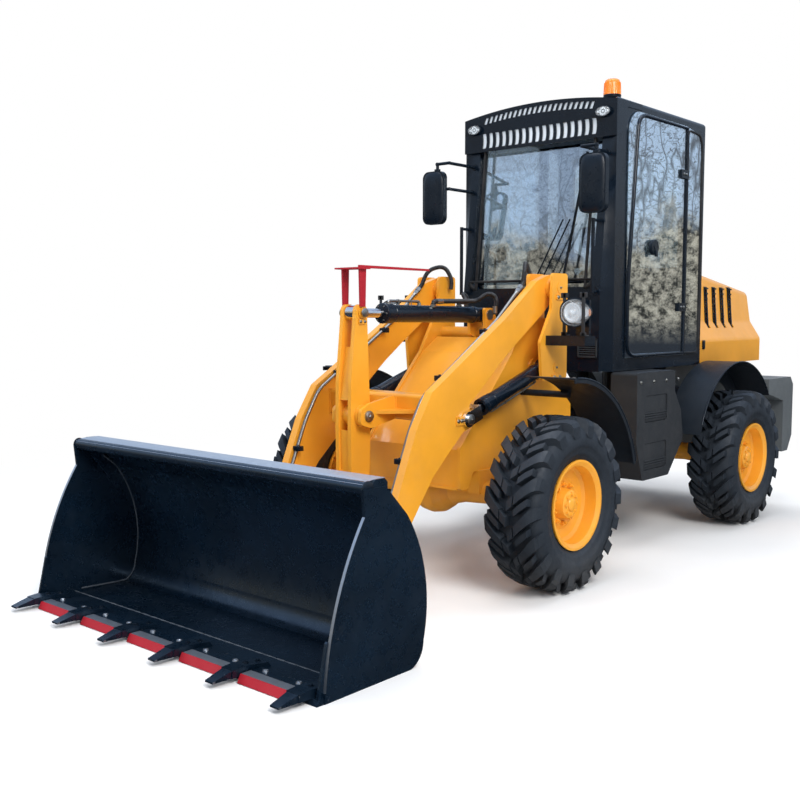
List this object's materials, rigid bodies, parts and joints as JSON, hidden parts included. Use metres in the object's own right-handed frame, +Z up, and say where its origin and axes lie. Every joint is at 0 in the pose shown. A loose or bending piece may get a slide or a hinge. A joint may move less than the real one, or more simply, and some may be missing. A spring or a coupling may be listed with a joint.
{
  "type": "wheel loader",
  "caption": "Compact articulated wheel loader with a Z-bar boom, toothed bucket on a carrier, glazed cab, tilting hood and counterweight.",
  "frame": {"origin": "on the ground under the middle of the bounding box", "axes": "+X forward towards the bucket, +Y to the operator's left, +Z up"},
  "size_m": [5.93, 2.226, 3.16],
  "materials": {
    "amber": "clear",
    "chrome": "polished",
    "cushion": "woven",
    "dark": "satin paint",
    "glass": "clear",
    "hose": "matte",
    "iron": "painted",
    "lamp": "clear",
    "plastic": "grained",
    "red": "gloss paint",
    "steel": "brushed",
    "tyre": "matte",
    "yellow": "gloss paint"
  },
  "bodies": {
    "rear_body": {"rear_axle": "yellow", "rear_frame": "dark", "engine_block": "iron", "counterweight": "iron", "left_side_box": "dark", "right_side_box": "dark", "rear_fenders": "plastic", "cab_frame": "dark", "cab_roof": "dark", "roof_visor": "dark", "beacon": "amber", "roof_lamps": "lamp", "windscreen": "glass", "rear_window": "glass", "quarter_glass": "glass", "seat": "cushion", "cab_controls": "plastic", "mirrors": "plastic", "grab_rails": "plastic"},
    "front_body": {"front_axle": "yellow", "front_frame": "yellow", "front_fenders": "plastic", "headlight_brackets": "dark", "headlights": "lamp"},
    "boom": {"lift_arms": "yellow", "boom_lines": "steel"},
    "crank_pin_body": {"crank_pin": "steel"},
    "bell_crank_body": {"bell_crank": "yellow", "level_indicator": "red"},
    "link_pin_body": {"link_pin": "steel"},
    "tilt_link_body": {"tilt_link": "yellow"},
    "tilt_base_pin_body": {"tilt_base_pin": "steel"},
    "tilt_barrel_body": {"tilt_barrel": "dark", "tilt_lines": "hose"},
    "tilt_rod_body": {"tilt_rod": "chrome"},
    "bucket_pins_body": {"bucket_pins": "steel"},
    "bucket_body": {"quick_hitch": "yellow", "bucket": "dark", "bucket_teeth": "dark"},
    "left_lift_barrel_body": {"left_lift_barrel": "dark"},
    "left_lift_rod_body": {"left_lift_rod": "chrome"},
    "right_lift_barrel_body": {"right_lift_barrel": "dark"},
    "right_lift_rod_body": {"right_lift_rod": "chrome"},
    "left_steering_barrel_body": {"left_steering_barrel": "dark"},
    "left_steering_rod_body": {"left_steering_rod": "chrome"},
    "right_steering_barrel_body": {"right_steering_barrel": "dark"},
    "right_steering_rod_body": {"right_steering_rod": "chrome"},
    "hood_body": {"hood": "yellow"},
    "left_door": {"left_door_glass": "glass", "left_door_fittings": "plastic"},
    "right_door": {"right_door_glass": "glass", "right_door_fittings": "plastic"},
    "front_left_wheel": {"front_left_tyre": "tyre", "front_left_rim": "yellow"},
    "front_right_wheel": {"front_right_tyre": "tyre", "front_right_rim": "yellow"},
    "rear_left_wheel": {"rear_left_tyre": "tyre", "rear_left_rim": "yellow"},
    "rear_right_wheel": {"rear_right_tyre": "tyre", "rear_right_rim": "yellow"}
  },
  "joints": [
    {"name": "articulation", "type": "hinge", "parent": "rear_body", "child": "front_body", "pos_m": [-0.575, 0, 0.65], "axis": [0, 0, 1], "range_deg": [-35, 35]},
    {"name": "boom_lift", "type": "hinge", "parent": "front_body", "child": "boom", "pos_m": [0.148, 0, 1.735], "axis": [0, -1, 0], "range_deg": [0, 80]},
    {"name": "bucket_tilt", "type": "hinge", "parent": "bucket_pins_body", "child": "bucket_body", "pos_m": [1.74, 0, 0.26], "axis": [0, 1, 0], "range_deg": [-45, 10]},
    {"name": "bucket_pins_turn", "type": "hinge", "parent": "boom", "child": "bucket_pins_body", "pos_m": [1.74, 0, 0.26], "axis": [0, 1, 0], "range_deg": [-1, 114.34]},
    {"name": "crank_pin_turn", "type": "hinge", "parent": "boom", "child": "crank_pin_body", "pos_m": [1.435, 0, 1], "axis": [0, 1, 0], "range_deg": [-23.96, 1]},
    {"name": "bell_crank_turn", "type": "hinge", "parent": "crank_pin_body", "child": "bell_crank_body", "pos_m": [1.435, 0, 1], "axis": [0, 1, 0], "range_deg": [-5.52, 21.34]},
    {"name": "link_pin_turn", "type": "hinge", "parent": "bell_crank_body", "child": "link_pin_body", "pos_m": [1.44, 0, 0.385], "axis": [0, 1, 0], "range_deg": [-1, 105.4]},
    {"name": "tilt_link_turn", "type": "hinge", "parent": "link_pin_body", "child": "tilt_link_body", "pos_m": [1.44, 0, 0.385], "axis": [0, 1, 0], "range_deg": [-25.84, 6.52]},
    {"name": "tilt_base_turn", "type": "hinge", "parent": "front_body", "child": "tilt_base_pin_body", "pos_m": [0.243, 0, 1.566], "axis": [0, -1, 0], "range_deg": [-1, 75.88]},
    {"name": "tilt_barrel_turn", "type": "hinge", "parent": "tilt_base_pin_body", "child": "tilt_barrel_body", "pos_m": [0.243, 0, 1.566], "axis": [0, -1, 0], "range_deg": [-2.21, 1.27]},
    {"name": "tilt_rod_slide", "type": "slide", "parent": "tilt_barrel_body", "child": "tilt_rod_body", "axis": [0.9999, 0, 0.0101], "range_m": [-0.0468, 0.2001]},
    {"name": "left_lift_barrel_turn", "type": "hinge", "parent": "front_body", "child": "left_lift_barrel_body", "pos_m": [0.185, 0.45, 1.24], "axis": [0, -1, 0], "range_deg": [-1, 73.4]},
    {"name": "left_lift_rod_slide", "type": "slide", "parent": "left_lift_barrel_body", "child": "left_lift_rod_body", "axis": [0.9515, 0, -0.3075], "range_m": [-0.003, 0.6229]},
    {"name": "left_steering_barrel_turn", "type": "hinge", "parent": "rear_body", "child": "left_steering_barrel_body", "pos_m": [-1, 0.2, 0.64], "axis": [0, 0, 1], "range_deg": [-12.9, 12.9]},
    {"name": "left_steering_rod_slide", "type": "slide", "parent": "left_steering_barrel_body", "child": "left_steering_rod_body", "axis": [1, 0, 0], "range_m": [-0.1225, 0.1225]},
    {"name": "right_lift_barrel_turn", "type": "hinge", "parent": "front_body", "child": "right_lift_barrel_body", "pos_m": [0.185, -0.45, 1.24], "axis": [0, -1, 0], "range_deg": [-1, 73.4]},
    {"name": "right_lift_rod_slide", "type": "slide", "parent": "right_lift_barrel_body", "child": "right_lift_rod_body", "axis": [0.9515, 0, -0.3075], "range_m": [-0.003, 0.6229]},
    {"name": "right_steering_barrel_turn", "type": "hinge", "parent": "rear_body", "child": "right_steering_barrel_body", "pos_m": [-1, -0.2, 0.64], "axis": [0, 0, 1], "range_deg": [-12.9, 12.9]},
    {"name": "right_steering_rod_slide", "type": "slide", "parent": "right_steering_barrel_body", "child": "right_steering_rod_body", "axis": [1, 0, 0], "range_m": [-0.1225, 0.1225]},
    {"name": "hood_lift", "type": "hinge", "parent": "rear_body", "child": "hood_body", "pos_m": [-2.905, 0, 1.18], "axis": [0, -1, 0], "range_deg": [0, 55]},
    {"name": "left_door_swing", "type": "hinge", "parent": "rear_body", "child": "left_door", "pos_m": [-1.419, 0.632, 2], "axis": [0, 0, 1], "range_deg": [0, 90]},
    {"name": "right_door_swing", "type": "hinge", "parent": "rear_body", "child": "right_door", "pos_m": [-1.419, -0.632, 2], "axis": [0, 0, -1], "range_deg": [0, 90]},
    {"name": "front_left_wheel_spin", "type": "hinge", "parent": "front_body", "child": "front_left_wheel", "pos_m": [0.675, 0.865, 0.5], "axis": [0, 1, 0], "continuous": true},
    {"name": "front_right_wheel_spin", "type": "hinge", "parent": "front_body", "child": "front_right_wheel", "pos_m": [0.675, -0.865, 0.5], "axis": [0, 1, 0], "continuous": true},
    {"name": "rear_left_wheel_spin", "type": "hinge", "parent": "rear_body", "child": "rear_left_wheel", "pos_m": [-1.825, 0.865, 0.5], "axis": [0, 1, 0], "continuous": true},
    {"name": "rear_right_wheel_spin", "type": "hinge", "parent": "rear_body", "child": "rear_right_wheel", "pos_m": [-1.825, -0.865, 0.5], "axis": [0, 1, 0], "continuous": true}
  ],
  "couplings": [
    {"joint": "bucket_pins_turn", "follows": "boom_lift", "ratio": 1.4167},
    {"joint": "crank_pin_turn", "follows": "boom_lift", "ratio": -0.287},
    {"joint": "bell_crank_turn", "follows": "bucket_tilt", "ratio": -0.452},
    {"joint": "link_pin_turn", "follows": "boom_lift", "ratio": 1.305},
    {"joint": "tilt_link_turn", "follows": "bucket_tilt", "ratio": 0.552},
    {"joint": "tilt_base_turn", "follows": "boom_lift", "ratio": 0.936},
    {"joint": "tilt_barrel_turn", "follows": "bucket_tilt", "ratio": 0.027},
    {"joint": "tilt_rod_slide", "follows": "bucket_tilt", "m_per_rad": -0.2509},
    {"joint": "left_lift_barrel_turn", "follows": "boom_lift", "ratio": 0.905},
    {"joint": "left_lift_rod_slide", "follows": "boom_lift", "m_per_rad": 0.444},
    {"joint": "left_steering_barrel_turn", "follows": "articulation", "ratio": 0.34},
    {"joint": "left_steering_rod_slide", "follows": "articulation", "m_per_rad": -0.1956},
    {"joint": "right_lift_barrel_turn", "follows": "boom_lift", "ratio": 0.905},
    {"joint": "right_lift_rod_slide", "follows": "boom_lift", "m_per_rad": 0.444},
    {"joint": "right_steering_barrel_turn", "follows": "articulation", "ratio": 0.34},
    {"joint": "right_steering_rod_slide", "follows": "articulation", "m_per_rad": 0.1956}
  ]
}
